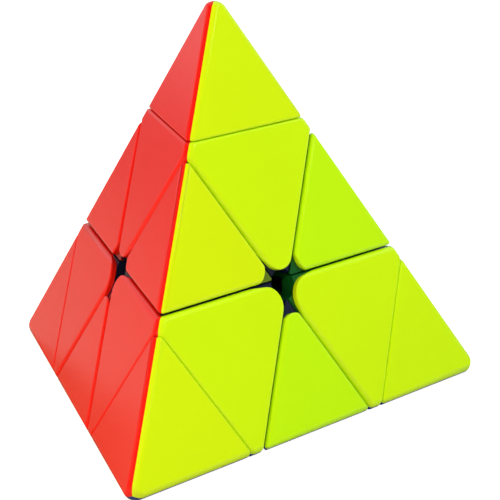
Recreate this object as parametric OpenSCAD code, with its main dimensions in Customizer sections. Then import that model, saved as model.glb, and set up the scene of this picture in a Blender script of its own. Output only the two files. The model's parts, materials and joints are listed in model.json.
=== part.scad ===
// Pyramid twisty puzzle: a tetrahedron of four corner tips, four axial pieces and six edge pieces that
// turn about the four lines from its centre to its corners.
//
// The origin is the centre of the pyramid, where the four turning axes meet. +Z runs through the top
// corner and the blue face lies underneath. The lime face looks towards -Y.
//
// Each turning layer is cut off by surfaces of revolution about its own axis only: a flat plane near the
// outside, and inside the foot sphere a second, deeper plane. So every edge piece has a foot that reaches
// under the two axial pieces beside it, and any layer can turn while its neighbours stand still.

/* [Pyramid] */
// Length of one side over the rounded corners
side = 98; // [80:1:120]
// Radius of the rounding along the pyramid's edges
edge_round = 1.6; // [1:0.1:2.2]
// Radius of the rounding at the pyramid's points
point_round = 2.6; // [2.3:0.1:2.9]

/* [Cuts] */
// Height of the layer cuts, as a share of the way from a face to the opposite corner
layer_share = 0.342; // [0.338:0.001:0.346]
// Height of the tip cuts, as a share of the way from a face to the opposite corner
tip_share = 0.672; // [0.668:0.001:0.68]
// Gap between layers that turn against each other
gap = 0.4; // [0.3:0.05:0.6]
// Gap between a tip and its axial piece
tip_gap = 0.2; // [0.15:0.05:0.3]

/* [Coloured shells] */
// Thickness of the coloured shells on the axial and edge pieces
shell = 1.1; // [1:0.1:1.4]
// Thickness of the coloured shells on the tips, whose points are solid
tip_shell = 1.8; // [1.7:0.1:2.4]
// Rounding of the axial shells' corners at the middle of a face
axial_round = 4; // [3.6:0.1:4.2]
// Rounding of the edge shells' corners at the middle of a face
middle_round = 3.8; // [3.4:0.1:4]
// Rounding of the other corners of a shell
corner_round = 1.2; // [1:0.1:1.6]
// Radius of the clear space behind the hole in the middle of a face
hole_r = 3.1; // [3:0.1:3.6]

/* [Mechanism] */
// Distance from the centre to the plane that bounds the feet
foot_plane = 5.6; // [5.4:0.1:5.6]
// Radius of the clear space that the feet leave for the core
core_space = 10.2; // [9.8:0.1:10.4]
// Half the distance across the flats of the core's block
core_half = 5.6; // [5:0.1:5.7]
// Radius of the core's four arms
arm_r = 3.4; // [3:0.1:3.6]
// Distance from the centre to the end of an arm
arm_end = 13; // [12.5:0.1:13.2]
// Radius of the collar that turns on an arm
collar_r = 6.2; // [5.8:0.1:6.4]
// Radius of the well for spring and screw, which is also the socket for the tip's stem
well_r = 4.28; // [4.2:0.01:4.4]
// Radius of the tip's stem
stem_r = 4.2; // [4:0.01:4.2]
// Height by which the bead on the stem stands out
bead = 0.4; // [0.3:0.05:0.5]

/* [Fasteners] */
// Radius of the axis screw's shank
screw_r = 1.25; // [1:0.05:1.4]
// Radius of the axis screw's head
head_r = 3.1; // [2.8:0.1:3.3]
// Radius of the washer under the head
washer_r = 3.8; // [3.5:0.1:3.9]
// Radius of the spring, to the middle of its wire
spring_r = 3; // [2.6:0.1:3.2]
// Radius of the spring's wire
wire_r = 0.4; // [0.3:0.05:0.45]
// Number of turns of the spring
spring_turns = 5; // [4:1:6]

/* [Hidden] */
$fn = 64;

// The sharp tetrahedron that the rounded one is cut from. Each point is a ball that touches the crests of
// the three rounded edges, and the side is measured over two of these balls.
corner_per_edge = sqrt(6) / 4;
ball_r = corner_per_edge * (side - 2 * point_round);
corner_r = ball_r + 3 * edge_round + sqrt(3) * (point_round - edge_round);
face_r = corner_r / 3;
crest_r = corner_r / sqrt(3) - (sqrt(3) - 1) * edge_round;
height = corner_r + face_r;
layer_cut = layer_share * height - face_r;
tip_cut = tip_share * height - face_r;
foot_r = 3 * foot_plane;
reach = 1.7 * corner_r;

// The four turning axes, and the faces opposite to them: face k is opposite to corner k.
TOP = 0;
LEFT = 1;
RIGHT = 2;
BACK = 3;
CORNERS = [TOP, LEFT, RIGHT, BACK];
CORNER_NAMES = ["top", "left", "right", "back"];
FACE_NAMES = ["blue", "green", "red", "lime"];
COLOURS = [[0.03, 0.16, 0.62], [0.04, 0.42, 0.16], [0.93, 0.13, 0.1], [0.84, 0.93, 0.08]];
EDGES = [[TOP, LEFT], [TOP, RIGHT], [TOP, BACK], [LEFT, RIGHT], [RIGHT, BACK], [BACK, LEFT]];
// The colours of the bodies under the shells, each that of a face, in the order of CORNERS and EDGES
TIP_BODIES = [BACK, RIGHT, BACK, LEFT];
AXIAL_BODIES = [TOP, TOP, LEFT, TOP];
EDGE_BODIES = [BACK, LEFT, RIGHT, TOP, TOP, RIGHT];
function low_axis(turn) = [cos(turn) * sqrt(8) / 3, sin(turn) * sqrt(8) / 3, -1 / 3];
AXES = [[0, 0, 1], low_axis(210), low_axis(330), low_axis(90)];

// Heights along an axis, from the centre
collar_start = core_space;
floor_start = arm_end + gap;
floor_end = floor_start + 2;
spring_start = floor_end + 0.2;
washer_start = 23.7;
head_start = washer_start + 0.6;
head_end = head_start + 2.3;
stem_start = head_end + 2;
bead_start = stem_start + 1;
bead_h = 1.4;
pilot_start = 4.5;

function edge_name(e) = str(CORNER_NAMES[e[0]], "_", CORNER_NAMES[e[1]], "_edge");
function others(list) = [for (k = CORNERS) if (len(search(k, list)) == 0) k];
function unit(v) = v / norm(v);
function outward(face) = -AXES[face];
// The direction in a face that points to corner k, which lies on that face
function along(face, k) = unit(AXES[k] + AXES[face] / 3);
// The point whose distances along the axes are given, one [corner, distance] for each of the four
function at(distances) = 0.75 * [for (i = [0:2]) [for (d = distances) AXES[d[0]][i] * d[1]] * [1, 1, 1, 1]];

// Every planar solid is a cell: the space on the inner side of a list of planes, each [normal, distance].
function beyond(k, distance) = [-AXES[k], -distance];
function before(k, distance) = [AXES[k], distance];
function face_plane(face, inset) = [outward(face), face_r - inset];
// The plane through an edge and the centre, which keeps the side of face f
function mitre(f, g) = [unit(outward(g) - outward(f)), 0];
// Flats that follow the rounding of the edge between faces f and g, from its crest to face f
round_step = acos(1 / sqrt(3)) / 2;
function edge_flats(f, g) = [for (turn = [0, round_step])
    let (n = cos(turn) * unit(outward(f) + outward(g)) + sin(turn) * unit(outward(f) - outward(g)))
    [n, (crest_r - edge_round) * cos(turn) + edge_round]];
// The flat of a body under the crest between two faces
function under_crest(faces) = [unit(outward(faces[0]) + outward(faces[1])), crest_r - shell];
// Flats that follow the rounding of corner k, where it meets a face
function corner_flats(k, face) =
    [for (n = [AXES[k], for (j = others([k, face])) unit(AXES[k] + unit(AXES[k] + AXES[j]))])
        [n, ball_r * (n * AXES[k]) + point_round]];
// Flats that round off one 60 degree corner of a shell, at point p, which points along u in the face
function shell_corner(face, p, u, r) = [for (turn = [-30, 0, 30])
    let (n = cos(turn) * u + sin(turn) * cross(outward(face), u))
    [n, (p - 2 * r * u) * n + r]];
// The front and back of the shells on a face
function shell_planes(face, thickness) = [face_plane(face, 0), [-outward(face), thickness - face_r]];

module half_space(plane) {
    n = plane[0];
    rotate([0, acos(n[2]), atan2(n[1], n[0])])
        translate([-reach, -reach, plane[1] - 2 * reach])
            cube(2 * reach);
}

module cell(planes) {
    intersection_for (plane = planes)
        half_space(plane);
}

// Turns +Z to axis k
module on_axis(k) {
    rotate([0, acos(AXES[k][2]), atan2(AXES[k][1], AXES[k][0])])
        children();
}

// The clear space behind the hole in the middle of a face, as deep as the foot sphere
module face_hole(face) {
    rotate([0, acos(outward(face)[2]), atan2(outward(face)[1], outward(face)[0])])
        cylinder(h = face_r, r = hole_r);
}

// A ring about +Z with square edges
module ring(r_out, r_in, start, end) {
    rotate_extrude()
        translate([r_in, start])
            square([r_out - r_in, end - start]);
}

// The colour that face has
module coloured(face) {
    color(COLOURS[face])
        children();
}

// ---- Corner tips ----

// One coloured shell of tip k
module tip_shell(k, face) {
    sides = others([k, face]);
    bottom = tip_cut + tip_gap / 2;
    side_flats = [for (g = sides) each concat([mitre(face, g)], edge_flats(face, g))];
    low_corners = [for (g = sides)
        let (rest = others([k, face, g])[0])
        let (p = at([[k, bottom], [face, -face_r], [rest, -face_r], [g, 2 * face_r - bottom]]))
        each shell_corner(face, p, along(face, g), corner_round)];
    coloured(face)
        cell(concat(shell_planes(face, tip_shell), [beyond(k, bottom)], side_flats, corner_flats(k, face),
            low_corners));
}

// The body of tip k, under its shells, with the stem that snaps into the axial piece
module tip_core(k) {
    coloured(TIP_BODIES[k]) {
        union() {
            cell(concat([beyond(k, tip_cut + tip_gap / 2)],
                [for (g = others([k])) face_plane(g, tip_shell)]));
            on_axis(k) {
                translate([0, 0, stem_start])
                    cylinder(h = tip_cut + gap - stem_start, r = stem_r);
                ring(stem_r + bead, stem_r - 1, bead_start, bead_start + bead_h);
            }
        }
    }
}

// ---- Axial pieces ----

// One coloured shell of axial piece k
module axial_shell(k, face) {
    sides = others([k, face]);
    near = layer_cut - gap / 2;
    far = layer_cut + gap / 2;
    top = tip_cut - tip_gap / 2;
    side_flats = [for (g = sides) each concat([before(g, near), mitre(face, g)], edge_flats(face, g))];
    middle = at([[face, -face_r], [sides[0], near], [sides[1], near], [k, face_r - 2 * near]]);
    outer_corners = [for (g = sides)
        let (rest = others([k, face, g])[0])
        let (p = at([[k, top], [face, -face_r], [rest, near], [g, face_r - top - near]]))
        each shell_corner(face, p, -along(face, g), corner_round)];
    coloured(face)
        cell(concat(shell_planes(face, shell), [before(k, top), beyond(k, far)], side_flats, outer_corners,
            shell_corner(face, middle, -along(face, k), axial_round)));
}

// The hub of axial piece k, under its shells, with the collar that turns on the core's arm
module axial_hub(k) {
    coloured(AXIAL_BODIES[k]) {
        difference() {
            union() {
                difference() {
                    cell(concat(
                        [before(k, tip_cut - tip_gap / 2), beyond(k, layer_cut + gap / 2)],
                        [for (g = others([k])) each [before(g, layer_cut - gap / 2), face_plane(g, shell)]],
                        [for (g = others([k])) under_crest(others([k, g]))]));
                    sphere(foot_r + gap / 2);
                    for (g = others([k]))
                        face_hole(g);
                }
                on_axis(k)
                    translate([0, 0, collar_start])
                        cylinder(h = foot_r + 2 - collar_start, r = collar_r);
            }
            on_axis(k) {
                translate([0, 0, collar_start - 1])
                    cylinder(h = floor_start - collar_start + 1, r = arm_r + gap);
                translate([0, 0, floor_start - 1])
                    cylinder(h = 4, r = screw_r + gap);
                translate([0, 0, floor_end])
                    cylinder(h = tip_cut, r = well_r);
                ring(well_r + bead + 0.2, well_r - 1, bead_start - 0.2, bead_start + bead_h + 0.2);
            }
        }
    }
}

// ---- Edge pieces ----

// One coloured shell of edge piece e
module edge_shell(e, face) {
    a = e[0];
    b = e[1];
    other_face = others([a, b, face])[0];
    far = layer_cut + gap / 2;
    middle = at([[face, -face_r], [a, far], [b, far], [other_face, face_r - 2 * far]]);
    end_corners = [for (way = [[a, b], [b, a]])
        let (p = at([[face, -face_r], [other_face, -face_r], [way[1], far], [way[0], 2 * face_r - far]]))
        each shell_corner(face, p, along(face, way[0]), corner_round)];
    coloured(face)
        cell(concat(shell_planes(face, shell), [mitre(face, other_face), beyond(a, far), beyond(b, far)],
            edge_flats(face, other_face), end_corners,
            shell_corner(face, middle, along(face, other_face), middle_round)));
}

// The body of edge piece e, under its shells, with the foot that is held under two axial pieces
module edge_foot(e, body) {
    faces = others(e);
    far = layer_cut + gap / 2;
    coloured(body) {
        difference() {
            union() {
                difference() {
                    cell(concat([for (k = e) beyond(k, far)], [for (f = faces) face_plane(f, shell)],
                        [under_crest(faces)]));
                    for (f = faces)
                        face_hole(f);
                }
                intersection() {
                    sphere(foot_r - gap / 2);
                    cell(concat([for (k = e) beyond(k, foot_plane + gap / 2)],
                        [for (f = faces) before(f, 0)]));
                }
            }
            sphere(core_space);
        }
    }
}

// ---- Core and fasteners ----

// The four-armed core that the axial pieces turn on
module core() {
    arm_start = core_half - 1.5;
    tip_flat = 1.5 * core_half;
    flats = [for (k = CORNERS) each [before(k, core_half), [outward(k), core_half]]];
    point_flats = [for (e = EDGES) [unit(AXES[e[0]] + AXES[e[1]]), tip_flat]];
    color("dimgray") {
        difference() {
            union() {
                cell(concat(flats, point_flats));
                for (k = CORNERS)
                    on_axis(k)
                        translate([0, 0, arm_start])
                            cylinder(h = arm_end - arm_start, r = arm_r);
            }
            for (k = CORNERS)
                on_axis(k)
                    translate([0, 0, pilot_start])
                        cylinder(h = arm_end, r = screw_r + 0.02);
        }
    }
}

// The screws that hold the axial pieces on the core, each with a cross recess in its head
module axis_screws() {
    slot_l = 3.6;
    slot_w = 0.9;
    slot_depth = 1.4;
    color("silver") {
        for (k = CORNERS) {
            on_axis(k) {
                difference() {
                    union() {
                        translate([0, 0, pilot_start + 0.5])
                            cylinder(h = head_start - pilot_start, r = screw_r);
                        translate([0, 0, head_start])
                            cylinder(h = head_end - head_start, r = head_r);
                    }
                    for (turn = [0, 90])
                        rotate(turn)
                            translate([-slot_l / 2, -slot_w / 2, head_end - slot_depth])
                                cube([slot_l, slot_w, slot_depth + 1]);
                }
            }
        }
    }
}

// The washers between the springs and the screw heads
module axis_washers() {
    color("lightgray") {
        for (k = CORNERS)
            on_axis(k)
                ring(washer_r, screw_r + 0.2, washer_start, head_start);
    }
}

// The springs that press the axial pieces towards the core
module tension_springs() {
    wire_sides = 6;
    steps_per_turn = 16;
    steps = spring_turns * steps_per_turn;
    low = spring_start + wire_r;
    rise = washer_start - 0.1 - wire_r - low;
    function wire_point(i, j) =
        let (turn = 360 * i / steps_per_turn, round = 360 * j / wire_sides)
        let (r = spring_r + wire_r * cos(round))
        [r * cos(turn), r * sin(turn), low + rise * i / steps + wire_r * sin(round)];
    points = [for (i = [0:steps]) for (j = [0:wire_sides - 1]) wire_point(i, j)];
    walls = [for (i = [0:steps - 1]) for (j = [0:wire_sides - 1])
        let (next = (j + 1) % wire_sides)
        [i * wire_sides + j, i * wire_sides + next, (i + 1) * wire_sides + next, (i + 1) * wire_sides + j]];
    start_cap = [for (j = [wire_sides - 1:-1:0]) j];
    end_cap = [for (j = [0:wire_sides - 1]) steps * wire_sides + j];
    color("silver") {
        for (k = CORNERS)
            on_axis(k)
                polyhedron(points, concat(walls, [start_cap, end_cap]));
    }
}

for (k = CORNERS) {
    for (f = others([k])) {
        tip_shell(k, f);
        axial_shell(k, f);
    }
    tip_core(k);
    axial_hub(k);
}
for (i = [0:len(EDGES) - 1]) {
    let (e = EDGES[i]) {
        for (f = others(e))
            edge_shell(e, f);
        edge_foot(e, EDGE_BODIES[i]);
    }
}
core();
axis_screws();
axis_washers();
tension_springs();
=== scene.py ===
import json
import math
from functools import partial
from itertools import product

import bpy
from mathutils import Matrix, Vector

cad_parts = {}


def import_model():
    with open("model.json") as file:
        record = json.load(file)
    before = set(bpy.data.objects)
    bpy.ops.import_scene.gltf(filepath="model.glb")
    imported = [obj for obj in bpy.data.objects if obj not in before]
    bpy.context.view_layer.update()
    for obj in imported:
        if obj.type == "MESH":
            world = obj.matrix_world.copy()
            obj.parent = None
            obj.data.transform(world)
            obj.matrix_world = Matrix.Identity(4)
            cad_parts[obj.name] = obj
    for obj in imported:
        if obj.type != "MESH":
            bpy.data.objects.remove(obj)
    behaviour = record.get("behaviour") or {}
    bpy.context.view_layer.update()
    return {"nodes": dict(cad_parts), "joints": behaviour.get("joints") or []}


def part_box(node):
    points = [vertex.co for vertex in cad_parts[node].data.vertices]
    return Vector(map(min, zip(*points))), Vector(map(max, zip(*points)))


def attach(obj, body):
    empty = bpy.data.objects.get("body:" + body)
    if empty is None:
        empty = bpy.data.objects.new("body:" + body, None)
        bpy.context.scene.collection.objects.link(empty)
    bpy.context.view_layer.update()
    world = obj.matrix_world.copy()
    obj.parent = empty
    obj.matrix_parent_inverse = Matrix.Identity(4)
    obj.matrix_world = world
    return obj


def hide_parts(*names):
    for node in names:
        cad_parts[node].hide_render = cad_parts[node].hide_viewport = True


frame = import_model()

# A pyramid twisty puzzle. Its fourteen outer pieces are rounded convex bodies, each cut into its
# coloured shells. Lengths in the geometry functions are millimetres, and each mesh is scaled to
# metres when it is made. The bodies under the shells and the mechanism are the CAD nodes.

MM = 0.001

# ---- Measures, read from the frame ----

CORNERS = ["top", "left", "right", "back"]
# The colour of the face opposite to each corner. Faces are named by their opposite corners.
FACE_OF = {"top": "blue", "left": "green", "right": "red", "back": "lime"}
AXES = {j["child"].removesuffix("_axial"): tuple(j["axis"])
        for j in frame["joints"] if j["name"].endswith("_layer_turn")}
EDGES = [("top", "left"), ("top", "right"), ("top", "back"),
         ("left", "right"), ("right", "back"), ("back", "left")]


def low_z(node_name):
    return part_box(node_name)[0].z / MM


def high_z(node_name):
    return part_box(node_name)[1].z / MM


# In a regular tetrahedron, the edges and corners are this many times as far out as the faces.
EDGE_RATIO = math.sqrt(3)
CORNER_RATIO = 3
FACE_R = -low_z("left_right_edge_blue")
CORNER_R = CORNER_RATIO * FACE_R
SHELL = FACE_R + low_z("left_right_edge_foot")
TIP_SHELL = FACE_R + low_z("left_tip_core")
LAYER_NEAR = high_z("left_axial_lime")
LAYER_FAR = low_z("top_left_edge_lime")
# The rims of a tip and its axial piece all but touch, so only a fine groove shows between them.
TIP_GAP = 0.06
TIP_CUT = (high_z("top_axial_lime") + low_z("top_tip_lime")) / 2
TIP_NEAR = TIP_CUT - TIP_GAP / 2
TIP_FAR = TIP_CUT + TIP_GAP / 2

# ---- Roundings of the moulded pieces, estimated from the photo ----

EDGE_ROUND = 1.6  # along the edges of the pyramid
POINT_ROUND = 2.6  # at its corners
RIM = 0.35  # along every edge of a piece that has no larger rounding
TIP_RIM = 0.6  # from the faces to the tip seams
EDGE_RIM = 0.9  # from the faces to the walls of the edge pieces
AXIAL_RIM = 1.15  # from the faces to the layer walls of the axial pieces
SHARP_NOSE = 0.6  # where the pyramid's edges end at a seam, on tips and edge pieces
BLUNT_NOSE = 1.5  # and on axial pieces
AXIAL_MIDDLE = 4.0  # at the middle of a face, on axial pieces
EDGE_MIDDLE = 3.8  # and on edge pieces
MIDDLE_ARC = 120  # the angle of those two roundings, in degrees

# How many planes or strips a rounding is made of
EDGE_STEPS = 18
POINT_STEPS = 14
NOSE_STEPS = 10
SIDE_STEPS = 8
MIDDLE_STEPS = 16
RIM_STEPS = 6
FAN_RINGS = 3

TINY = 1e-7
TINY_ANGLE = 1e-6
# Corners closer than this are made one, in a solid before it is rounded and in a finished one
SOLID_WELD = 0.004
MESH_WELD = 0.0005
# How far the block reaches that every solid is cut from
BLOCK = 3 * CORNER_R
# A direction that is not along the normal of any plane here
SLANTED = (0.31, 0.52, 0.79)

# ---- Vectors ----


def dot(a, b):
    return a[0] * b[0] + a[1] * b[1] + a[2] * b[2]


def scaled(a, s):
    return (a[0] * s, a[1] * s, a[2] * s)


def added(*vectors):
    return tuple(sum(parts) for parts in zip(*vectors))


def cross(a, b):
    return (a[1] * b[2] - a[2] * b[1], a[2] * b[0] - a[0] * b[2], a[0] * b[1] - a[1] * b[0])


def unit(a):
    return scaled(a, 1 / math.sqrt(dot(a, a)))


def turned(a, b, t):
    """The unit vector a share t of the way round from a to b."""
    angle = math.acos(max(-1.0, min(1.0, dot(a, b))))
    if angle < TINY_ANGLE:
        return a
    return unit(added(scaled(a, math.sin((1 - t) * angle)), scaled(b, math.sin(t * angle))))


def outward(face):
    return scaled(AXES[face], -1)


def along(face, k):
    """The direction in a face that points to corner k. Any two axes have the cosine -1/3."""
    return unit(added(AXES[k], scaled(AXES[face], 1 / 3)))


def others(*names):
    return [c for c in CORNERS if c not in names]


# ---- Planes of a piece: (normal, distance, family, flat) ----
# The family is "skin" for the outside of the pyramid and "wall" for the sides that face other
# pieces. Rounded parts are many small planes that are not flat, shaded as one smooth surface.


def face_plane(face):
    return (outward(face), FACE_R, "skin", True)


def before(corner, distance):
    return (AXES[corner], distance, "wall", True)


def beyond(corner, distance):
    return (scaled(AXES[corner], -1), -distance, "wall", True)


def fillet(plane_a, plane_b, radius, steps, family):
    """Planes that round the edge between two planes."""
    na, nb = plane_a[0], plane_b[0]
    da, db = plane_a[1] - radius, plane_b[1] - radius
    c = dot(na, nb)
    s = 1 - c * c
    centre = added(scaled(na, (da - c * db) / s), scaled(nb, (db - c * da) / s))
    normals = [turned(na, nb, i / steps) for i in range(1, steps)]
    return [(n, dot(n, centre) + radius, family, False) for n in normals]


def edge_fillet(f, g):
    return fillet(face_plane(f), face_plane(g), EDGE_ROUND, EDGE_STEPS, "skin")


def crest(a, b):
    """The plane along the top of the rounded edge between corners a and b."""
    m = unit(added(AXES[a], AXES[b]))
    distance = EDGE_RATIO * (FACE_R - EDGE_ROUND) + EDGE_ROUND
    return (m, distance, "skin", False)


def nose(a, b, wall, radius):
    """Planes that round the end of the edge between corners a and b, where it meets a wall."""
    return fillet(crest(a, b), wall, radius, NOSE_STEPS, "wall")


def side_fillets(faces, walls, radius):
    """Planes that round the edges between some faces and some walls."""
    return [plane for f in faces for wall in walls
            for plane in fillet(face_plane(f), wall, radius, SIDE_STEPS, "skin")]


def ball_planes(corners, steps, centre, radius):
    """Planes round a ball, whose normals fill the spherical triangle between three directions."""
    angle = math.acos(dot(corners[0], corners[1]))
    planes = []
    for i in range(steps + 1):
        for j in range(steps + 1 - i):
            shares = (i, j, steps - i - j)
            if max(shares) == steps:
                continue
            parts = [scaled(v, math.sin(angle * s / steps)) for v, s in zip(corners, shares)]
            n = unit(added(*parts))
            planes.append((n, dot(n, centre) + radius, "skin", False))
    return planes


def corner_planes(k):
    """Planes that round corner k of the pyramid and the three edges that meet there."""
    sides = [outward(c) for c in others(k)]
    centre = scaled(AXES[k], CORNER_R - CORNER_RATIO * EDGE_ROUND)
    planes = ball_planes(sides, EDGE_STEPS, centre, EDGE_ROUND)
    crests = [crest(k, c) for c in others(k)]
    centre = scaled(AXES[k], (crests[0][1] - POINT_ROUND) / dot(crests[0][0], AXES[k]))
    return planes + ball_planes([c[0] for c in crests], POINT_STEPS, centre, POINT_ROUND)


def middle_fillet(face, wall, pointing, radius):
    """Planes, square to a face, that round the corner of a piece at the middle of that face."""
    out = outward(face)
    normal, distance = wall[:2]
    # The corner lies at pointing * s + out * FACE_R, where the wall meets its mirror image. They
    # meet at 60 degrees in the face, so the centre of the arc is twice its radius away.
    s = (distance - dot(normal, out) * FACE_R) / dot(normal, pointing)
    centre = added(scaled(out, FACE_R), scaled(pointing, s - 2 * radius))
    side = cross(out, pointing)
    planes = []
    for i in range(1, MIDDLE_STEPS):
        t = math.radians(-MIDDLE_ARC / 2 + MIDDLE_ARC * i / MIDDLE_STEPS)
        n = added(scaled(pointing, math.cos(t)), scaled(side, math.sin(t)))
        planes.append((n, dot(n, centre) + radius, "wall", False))
    return planes


def tip_planes(k):
    sides = others(k)
    wall = beyond(k, TIP_FAR)
    planes = [face_plane(f) for f in sides] + [wall]
    planes += corner_planes(k) + side_fillets(sides, [wall], TIP_RIM)
    for b in sides:
        planes += nose(k, b, wall, SHARP_NOSE)
    return planes


def axial_planes(k):
    sides = others(k)
    top = before(k, TIP_NEAR)
    planes = [face_plane(f) for f in sides] + [top, beyond(k, LAYER_FAR)]
    planes += side_fillets(sides, [top], TIP_RIM)
    for g in sides:
        wall = before(g, LAYER_NEAR)
        planes += [wall] + side_fillets(others(k, g), [wall], AXIAL_RIM)
    for b in sides:
        planes += edge_fillet(*others(k, b))
        planes += nose(k, b, top, BLUNT_NOSE) + nose(k, b, before(b, LAYER_NEAR), BLUNT_NOSE)
    return planes


def edge_planes(a, b):
    f, g = others(a, b)
    walls = [beyond(a, LAYER_FAR), beyond(b, LAYER_FAR)]
    planes = [face_plane(f), face_plane(g)] + walls
    planes += edge_fillet(f, g) + side_fillets((f, g), walls, EDGE_RIM)
    for wall in walls:
        planes += nose(a, b, wall, SHARP_NOSE)
    return planes


def axial_middle(k, face):
    wall = before(others(k, face)[0], LAYER_NEAR)
    return middle_fillet(face, wall, scaled(along(face, k), -1), AXIAL_MIDDLE)


def edge_middle(a, b, face):
    wall = beyond(a, LAYER_FAR)
    return middle_fillet(face, wall, along(face, others(a, b, face)[0]), EDGE_MIDDLE)


# ---- Convex solids ----
# A solid is a list of (tag, loop), one for each face, and a loop is a list of (point, normal). The
# tag says where the face comes from, and the normal is the one that the corner is shaded by.


def start_block(size):
    """A cube that reaches as far as size to each side."""
    solid = []
    for axis in range(3):
        for sign in (-1, 1):
            u, v, n = [0, 0, 0], [0, 0, 0], [0, 0, 0]
            u[(axis + 1) % 3] = size
            v[(axis + 2) % 3] = size * sign
            n[axis] = sign
            middle = scaled(n, size)
            places = [added(middle, scaled(u, p), scaled(v, q))
                      for p, q in ((-1, -1), (1, -1), (1, 1), (-1, 1))]
            solid.append((None, [(p, tuple(n)) for p in places]))
    return solid


def closing_loop(points, normal):
    """The loop through the points of a cut, in order round their middle."""
    middle = scaled(added(*points), 1 / len(points))
    u = unit(cross(normal, SLANTED))
    v = cross(normal, u)

    def bearing(p):
        spoke = added(p, scaled(middle, -1))
        return math.atan2(dot(spoke, v), dot(spoke, u))

    return [(p, normal) for p in sorted(points, key=bearing)]


def cut(solid, normal, distance, tag):
    """The part of a convex solid behind a plane, with the cut closed."""
    joins, rim, kept = {}, {}, []
    touched = False
    for name, loop in solid:
        heights = [dot(normal, p) - distance for p, _ in loop]
        if max(heights) <= TINY:
            kept.append((name, loop))
            rim.update((p, True) for (p, _), h in zip(loop, heights) if h > -TINY)
            continue
        touched = True
        part = []
        for i, (p, n) in enumerate(loop):
            j = (i + 1) % len(loop)
            q, m = loop[j]
            hp, hq = heights[i], heights[j]
            if hp <= TINY:
                part.append((p, n))
                if hp > -TINY:
                    rim[p] = True
            if (hp > TINY and hq < -TINY) or (hp < -TINY and hq > TINY):
                # both faces at an edge use the same new point
                key = (p, q) if p < q else (q, p)
                share = hp / (hp - hq)
                if key not in joins:
                    t = share if key[0] == p else 1 - share
                    joins[key] = added(scaled(key[0], 1 - t), scaled(key[1], t))
                shade = unit(added(scaled(n, 1 - share), scaled(m, share)))
                part.append((joins[key], shade))
                rim[joins[key]] = True
        if len(part) >= 3:
            kept.append((name, part))
    if not touched:
        return solid
    if len(rim) >= 3:
        kept.append((tag, closing_loop(list(rim), normal)))
    return kept


def welded(solid, reach):
    """The solid with corners that are closer than reach made one."""
    cells, place = {}, {}
    steps = list(product((-1, 0, 1), repeat=3))

    def find(p):
        if p in place:
            return place[p]
        x, y, z = (math.floor(c / reach) for c in p)
        for dx, dy, dz in steps:
            for q in cells.get((x + dx, y + dy, z + dz), ()):
                if sum((a - b) ** 2 for a, b in zip(p, q)) < reach * reach:
                    place[p] = q
                    return q
        cells.setdefault((x, y, z), []).append(p)
        place[p] = p
        return p

    made = []
    for name, loop in solid:
        corners = []
        for p, n in loop:
            q = find(p)
            if not corners or corners[-1][0] != q:
                corners.append((q, n))
        while len(corners) > 1 and corners[0][0] == corners[-1][0]:
            corners.pop()
        if len(corners) >= 3:
            made.append((name, corners))
    return made


def on_ball(p, n, radius):
    return (added(p, scaled(n, radius)), n)


def shading(planes, around):
    """The normal that shades each face at each of its corners.

    planes has the plane of each face, and around has the faces at each corner. A flat face keeps
    its own normal. A face of a rounded part takes the normal of the flat face of its family that
    it meets there, or else the mean of the rounded parts' normals.
    """
    shade = {}
    for p, faces in around.items():
        flats = [planes[f] for f in faces if planes[f][3]]
        groups = {"skin": [], "wall": []}
        for f in faces:
            n, _, family, flat = planes[f]
            near = [plane[0] for plane in flats if plane[2] == family]
            if flat:
                shade[f, p] = n
            elif near:
                shade[f, p] = max(near, key=lambda m: dot(m, n))
            else:
                groups[family].append(f)
        for members in groups.values():
            if members:
                mean = unit(added(*[planes[f][0] for f in members]))
                shade.update({(f, p): mean for f in members})
    return shade


def edge_strips(edges, shade, radius):
    """The strips that round the edges between faces that are shaded differently."""
    strips = []
    for (p, q), f in edges.items():
        g = edges.get((q, p))
        if g is None or g < f:
            continue
        fp, gp, fq, gq = shade[f, p], shade[g, p], shade[f, q], shade[g, q]
        if fp == gp and fq == gq:
            continue
        for s in range(RIM_STEPS):
            t0, t1 = s / RIM_STEPS, (s + 1) / RIM_STEPS
            strip = [(q, turned(fq, gq, t0)), (p, turned(fp, gp, t0)),
                     (p, turned(fp, gp, t1)), (q, turned(fq, gq, t1))]
            strips.append(("rim", [on_ball(*corner, radius) for corner in strip]))
    return strips


def normals_round(p, faces, solid, edges, shade):
    """The different normals round corner p, in order, or none if its faces don't close."""
    following = {}
    for f in faces:
        loop = [c for c, _ in solid[f][1]]
        following[f] = edges.get((p, loop[loop.index(p) - 1]))
    ring, f = [], faces[0]
    for _ in faces:
        n = shade[f, p]
        if not ring or ring[-1] != n:
            ring.append(n)
        f = following[f]
        if f is None:
            return []
    while len(ring) > 1 and ring[0] == ring[-1]:
        ring.pop()
    return ring


def corner_fan(p, ring, radius):
    """The part of a ball round corner p between the normals of a ring."""
    middle = unit(added(*ring))
    border = []
    for i, n in enumerate(ring):
        m = ring[(i + 1) % len(ring)]
        border += [turned(n, m, s / RIM_STEPS) for s in range(RIM_STEPS)]
    rings = [[turned(middle, n, r / FAN_RINGS) for n in border] for r in range(1, FAN_RINGS + 1)]
    fan = []
    for i in range(len(border)):
        j = (i + 1) % len(border)
        patches = [(middle, rings[0][i], rings[0][j])]
        patches += [(inner[i], outer[i], outer[j], inner[j])
                    for inner, outer in zip(rings, rings[1:])]
        fan += [("rim", [on_ball(p, n, radius) for n in patch]) for patch in patches]
    return fan


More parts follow.
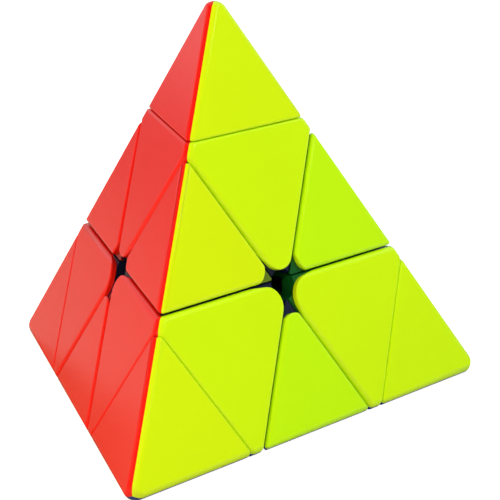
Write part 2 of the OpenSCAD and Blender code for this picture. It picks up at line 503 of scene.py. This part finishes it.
def rounded(planes, radius):
    """The solid inside the planes, with every edge and corner rounded by a ball of that radius."""
    solid = start_block(BLOCK)
    flats_first = sorted(range(len(planes)), key=lambda i: not planes[i][3])
    for i in flats_first:
        solid = cut(solid, planes[i][0], planes[i][1] - radius, i)
    solid = welded(solid, SOLID_WELD)

    around, edges = {}, {}
    for index, (_, loop) in enumerate(solid):
        for i, (p, _) in enumerate(loop):
            q = loop[(i + 1) % len(loop)][0]
            edges[p, q] = index
            around.setdefault(p, []).append(index)
    shade = shading([planes[tag] for tag, _ in solid], around)

    made = [(tag, [on_ball(p, shade[index, p], radius) for p, _ in loop])
            for index, (tag, loop) in enumerate(solid)]
    made += edge_strips(edges, shade, radius)
    for p, faces in around.items():
        ring = normals_round(p, faces, solid, edges, shade)
        if len(ring) >= 3:
            made += corner_fan(p, ring, radius)
    return welded(made, MESH_WELD)


def shell_of(body, face, sides, thickness):
    """The coloured shell that covers one face of a rounded body."""
    solid = body
    for g in sides:
        solid = cut(solid, unit(added(outward(g), scaled(outward(face), -1))), 0, "seam")
    return cut(solid, AXES[face], thickness - FACE_R, "inside")


def mesh_of(name, solid):
    """The object of a solid, shaded by the solid's own normals."""
    places, points, faces, normals = {}, [], [], []
    for _, loop in welded(solid, MESH_WELD):
        face = []
        for p, _ in loop:
            if p not in places:
                places[p] = len(points)
                points.append(scaled(p, MM))
            face.append(places[p])
        if len(set(face)) >= 3:
            faces.append(face)
            normals += [n for _, n in loop]
    mesh = bpy.data.meshes.new(name)
    mesh.from_pydata(points, [], faces)
    mesh.polygons.foreach_set("use_smooth", [True] * len(faces))
    mesh.normals_split_custom_set(normals)
    obj = bpy.data.objects.new(name, mesh)
    bpy.context.scene.collection.objects.link(obj)
    return obj


# ---- Materials ----

# Roughness of the shells, of the bodies under them, of the core, of the screws and washers, and of
# the springs
GLOSSY = 0.2
SATIN = 0.42
DULL = 0.5
PLATED = 0.3
DRAWN = 0.35
# How far colour, as a share, and roughness stray to each side
TINT_SPREAD = 0.03
GLOSS_SPREAD = 0.05
IOR = 1.45
# Noise scales are per metre: clouds of about 3 cm, and a grain of about 1 mm. The grain's height
# is in metres.
CLOUD_SCALE = 35.0
GRAIN_SCALE = 900.0
GRAIN_STRENGTH = 0.12
GRAIN_HEIGHT = 0.00002


def node(tree, kind, **values):
    """A new node. Values are properties, or inputs with _ for each space in their names."""
    made = tree.nodes.new(kind)
    for key, value in values.items():
        if hasattr(made, key):
            setattr(made, key, value)
        else:
            made.inputs[key.replace("_", " ")].default_value = value
    return made


def plastic(name, colour, roughness=GLOSSY):
    """Moulded ABS: a faint unevenness of colour, of gloss and of surface."""
    mat = bpy.data.materials.new(name)
    mat.use_nodes = True
    tree = mat.node_tree
    shader = tree.nodes["Principled BSDF"]
    link = tree.links.new
    where = node(tree, "ShaderNodeTexCoord")
    cloud = node(tree, "ShaderNodeTexNoise", Scale=CLOUD_SCALE, Detail=3.0, Roughness=0.5)
    link(where.outputs["Object"], cloud.inputs["Vector"])
    tint = node(tree, "ShaderNodeMix", data_type="RGBA")
    tint.inputs["A"].default_value = (*[c * (1 - TINT_SPREAD) for c in colour], 1)
    tint.inputs["B"].default_value = (*[min(1, c * (1 + TINT_SPREAD)) for c in colour], 1)
    link(cloud.outputs["Fac"], tint.inputs["Factor"])
    link(tint.outputs["Result"], shader.inputs["Base Color"])
    fine = node(tree, "ShaderNodeTexNoise", Scale=GRAIN_SCALE, Detail=4.0, Roughness=0.6)
    link(where.outputs["Object"], fine.inputs["Vector"])
    gloss = node(tree, "ShaderNodeMapRange",
                 To_Min=roughness - GLOSS_SPREAD, To_Max=roughness + GLOSS_SPREAD)
    link(fine.outputs["Fac"], gloss.inputs["Value"])
    link(gloss.outputs["Result"], shader.inputs["Roughness"])
    bump = node(tree, "ShaderNodeBump", Strength=GRAIN_STRENGTH, Distance=GRAIN_HEIGHT)
    link(fine.outputs["Fac"], bump.inputs["Height"])
    link(bump.outputs["Normal"], shader.inputs["Normal"])
    shader.inputs["IOR"].default_value = IOR
    return mat


def steel(name, colour, roughness):
    mat = plastic(name, colour, roughness)
    mat.node_tree.nodes["Principled BSDF"].inputs["Metallic"].default_value = 1.0
    return mat


PLASTICS = {
    "lime": plastic("plastic_lime", (0.53, 0.88, 0.003)),
    "red": plastic("plastic_red", (0.65, 0.01, 0.006)),
    "green": plastic("plastic_green", (0.01, 0.3, 0.06)),
    "blue": plastic("plastic_blue", (0.01, 0.05, 0.3)),
}
# The bodies under the shells take darker copies of the shell plastics: the darkening is painted
# shade, for the shade inside the holes and the seams between pieces.
SHADED_BODY_PLASTICS = {
    "lime": plastic("body_lime_painted_shade", (0.1, 0.18, 0.008), SATIN),
    "red": plastic("body_red_painted_shade", (0.2, 0.01, 0.008), SATIN),
    "green": plastic("body_green_painted_shade", (0.002, 0.08, 0.016), SATIN),
    "blue": plastic("body_blue_painted_shade", (0.003, 0.007, 0.04), SATIN),
}
CORE_PLASTIC = plastic("core_nylon", (0.02, 0.02, 0.03), DULL)
SCREW_STEEL = steel("screw_steel", (0.6, 0.6, 0.62), PLATED)
SPRING_STEEL = steel("spring_steel", (0.5, 0.5, 0.52), DRAWN)

# Copies of the lime with painted light: the yellower and warmer ones paint warm light on pieces
# towards the lit left and front, and the greener one paints cooler light on pieces to the right.
# The lime plastic itself is one colour.
LIME_PAINTED_YELLOW_LIGHT = plastic("plastic_lime_painted_yellow_light", (0.57, 0.84, 0.003))
LIME_PAINTED_WARM_LIGHT = plastic("plastic_lime_painted_warm_light", (0.56, 0.86, 0.003))
LIME_PAINTED_COOL_LIGHT = plastic("plastic_lime_painted_cool_light", (0.465, 0.89, 0.003))
LIME_LIGHT_TINTS = {"top_left_edge": LIME_PAINTED_YELLOW_LIGHT, "top_tip": LIME_PAINTED_WARM_LIGHT, "left_tip": LIME_PAINTED_WARM_LIGHT,
                "top_right_edge": LIME_PAINTED_COOL_LIGHT, "left_right_edge": LIME_PAINTED_COOL_LIGHT}

# ---- Pieces ----


def make_shells(name, planes, faces, thickness, middle=lambda face: []):
    """The shells of an outer piece. middle gives the planes that round it at a face's middle."""
    for f in faces:
        colour = FACE_OF[f]
        body = rounded(planes + middle(f), RIM)
        sides = [g for g in faces if g != f]
        shell = mesh_of(f"{name}_{colour}_shell", shell_of(body, f, sides, thickness))
        # Some lime shells take a copy of the lime with painted warm or cool light.
        light_tint = LIME_LIGHT_TINTS.get(name) if colour == "lime" else None
        shell.data.materials.append(light_tint or PLASTICS[colour])
        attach(shell, name)
        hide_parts(f"{name}_{colour}")


for k in CORNERS:
    make_shells(f"{k}_tip", tip_planes(k), others(k), TIP_SHELL)
    make_shells(f"{k}_axial", axial_planes(k), others(k), SHELL, partial(axial_middle, k))
for a, b in EDGES:
    make_shells(f"{a}_{b}_edge", edge_planes(a, b), others(a, b), SHELL,
                partial(edge_middle, a, b))


def finish_node(name, mat):
    """Gives a CAD node its material."""
    obj = frame["nodes"][name]
    obj.data.materials.clear()
    obj.data.materials.append(mat)


# The colours of the bodies under the shells. The photo shows only those seen through the holes at
# the middle of the lime and red faces, and the others are guesses.
TIP_BODIES = {"top": "lime", "left": "red", "right": "lime", "back": "green"}
HUB_BODIES = {"top": "blue", "left": "blue", "right": "green", "back": "blue"}
FOOT_BODIES = {"top_left": "lime", "top_right": "green", "top_back": "red",
               "left_right": "blue", "right_back": "blue", "back_left": "red"}
# Each body gets the painted-shade copy of its colour.
for k in CORNERS:
    finish_node(f"{k}_tip_core", SHADED_BODY_PLASTICS[TIP_BODIES[k]])
    finish_node(f"{k}_axial_hub", SHADED_BODY_PLASTICS[HUB_BODIES[k]])
for e, colour in FOOT_BODIES.items():
    finish_node(f"{e}_edge_foot", SHADED_BODY_PLASTICS[colour])
finish_node("core", CORE_PLASTIC)
finish_node("axis_screws", SCREW_STEEL)
finish_node("axis_washers", SCREW_STEEL)
finish_node("tension_springs", SPRING_STEEL)

# ---- Floor, light and camera ----

# The photograph's viewing angle, in degrees
CAMERA_AZIMUTH = -46.48
CAMERA_ELEVATION = 16.59
CAMERA_ROLL = 0.58
# The camera's place and lens, in millimetres
CAMERA_DISTANCE = 396.1
CAMERA_AIM = (4.97, -5.35, 9.67)
CAMERA_LENS = 143.3
SENSOR_WIDTH = 36

# In metres: where the view starts, how wide the floor is, and how far it lies below the puzzle
CLIP_START = 0.01
FLOOR_SIZE = 12
FLOOR_DROP = 0.0001
WHITE = (1, 1, 1, 1)
FLOOR_GREY = (0.5, 0.5, 0.5, 1)
FLOOR_ROUGHNESS = 0.8
FLOOR_GLOW = 0.95
# The world's brightness on the camera's side, behind the object, and as the camera sees it
WORLD_FRONT = 0.08
WORLD_BACK = 0.6
WORLD_SEEN = 1.0
# How far round to the back, as a cosine, the brightness starts and stops rising
RISE_START = 0.1
RISE_STOP = 0.5


def towards(azimuth, elevation):
    """The direction of azimuth and elevation, in degrees. Azimuth 0 is -Y, and 90 is +X."""
    a, e = math.radians(azimuth), math.radians(elevation)
    return Vector((math.sin(a) * math.cos(e), -math.cos(a) * math.cos(e), math.sin(e)))


def make_floor():
    """A grey floor that glows white for the camera only, and lights the puzzle as a grey one."""
    bpy.ops.mesh.primitive_plane_add(size=FLOOR_SIZE, location=(0, 0, -FACE_R * MM - FLOOR_DROP))
    floor = bpy.context.object
    floor.name = "floor"
    mat = bpy.data.materials.new("floor_white")
    mat.use_nodes = True
    tree = mat.node_tree
    shader = tree.nodes["Principled BSDF"]
    shader.inputs["Base Color"].default_value = FLOOR_GREY
    shader.inputs["Roughness"].default_value = FLOOR_ROUGHNESS
    shader.inputs["Specular IOR Level"].default_value = 0.0
    shader.inputs["Emission Color"].default_value = WHITE
    ray = node(tree, "ShaderNodeLightPath")
    glow = node(tree, "ShaderNodeMath", operation="MULTIPLY")
    glow.inputs[1].default_value = FLOOR_GLOW
    tree.links.new(ray.outputs["Is Camera Ray"], glow.inputs[0])
    tree.links.new(glow.outputs["Value"], shader.inputs["Emission Strength"])
    floor.data.materials.append(mat)


def make_world():
    """A white studio, bright behind the object and dim on the camera's side."""
    world = bpy.data.worlds.new("studio")
    bpy.context.scene.world = world
    world.use_nodes = True
    tree = world.node_tree
    link = tree.links.new
    background = tree.nodes["Background"]
    ray = node(tree, "ShaderNodeLightPath")
    where = node(tree, "ShaderNodeTexCoord")
    depth = node(tree, "ShaderNodeVectorMath", operation="DOT_PRODUCT")
    link(where.outputs["Generated"], depth.inputs[0])
    depth.inputs[1].default_value = -towards(CAMERA_AZIMUTH, 0)
    sky = node(tree, "ShaderNodeMapRange", interpolation_type="SMOOTHSTEP",
               From_Min=RISE_START, From_Max=RISE_STOP, To_Min=WORLD_FRONT, To_Max=WORLD_BACK)
    link(depth.outputs["Value"], sky.inputs["Value"])
    seen = node(tree, "ShaderNodeMix", data_type="FLOAT")
    link(ray.outputs["Is Camera Ray"], seen.inputs["Factor"])
    link(sky.outputs["Result"], seen.inputs["A"])
    seen.inputs["B"].default_value = WORLD_SEEN
    link(seen.outputs["Result"], background.inputs["Strength"])
    background.inputs["Color"].default_value = WHITE


def softbox(name, azimuth, elevation, distance, size, power, colour):
    """A round soft light that shines at the origin, with its distance and size in metres.

    It leaves no highlight of its own, because highlights come from the world.
    """
    data = bpy.data.lights.new(name, "AREA")
    data.shape = "DISK"
    data.size = size
    data.energy = power
    data.color = colour
    light = bpy.data.objects.new(name, data)
    direction = towards(azimuth, elevation)
    light.location = direction * distance
    light.rotation_mode = "QUATERNION"
    light.rotation_quaternion = direction.to_track_quat("Z", "Y")
    light.visible_camera = False
    light.visible_glossy = False
    bpy.context.scene.collection.objects.link(light)


def make_camera():
    """The camera, which looks from the front left, a little above the floor."""
    back = towards(CAMERA_AZIMUTH, CAMERA_ELEVATION)
    across = Vector((0, 0, 1)).cross(back).normalized()
    upward = back.cross(across)
    roll = math.radians(CAMERA_ROLL)
    right = across * math.cos(roll) + upward * math.sin(roll)
    up = upward * math.cos(roll) - across * math.sin(roll)
    data = bpy.data.cameras.new("camera")
    data.lens = CAMERA_LENS
    data.sensor_width = SENSOR_WIDTH
    data.clip_start = CLIP_START
    camera = bpy.data.objects.new("camera", data)
    place = (Vector(CAMERA_AIM) + back * CAMERA_DISTANCE) * MM
    turn = Matrix((right, up, back)).transposed().to_4x4()
    camera.matrix_world = Matrix.Translation(place) @ turn
    bpy.context.scene.collection.objects.link(camera)
    bpy.context.scene.camera = camera


make_floor()
make_world()
softbox("right_light", azimuth=35, elevation=45, distance=1.1, size=0.6, power=9.0,
        colour=(1.0, 1.0, 1.0))
softbox("left_light", azimuth=-125, elevation=15, distance=0.8, size=0.45, power=5.0,
        colour=(1.0, 0.7, 0.3))
softbox("front_light", azimuth=-60, elevation=20, distance=0.5, size=0.4, power=2.0,
        colour=(1.0, 0.65, 0.25))
make_camera()
bpy.context.scene.view_settings.view_transform = "Standard"
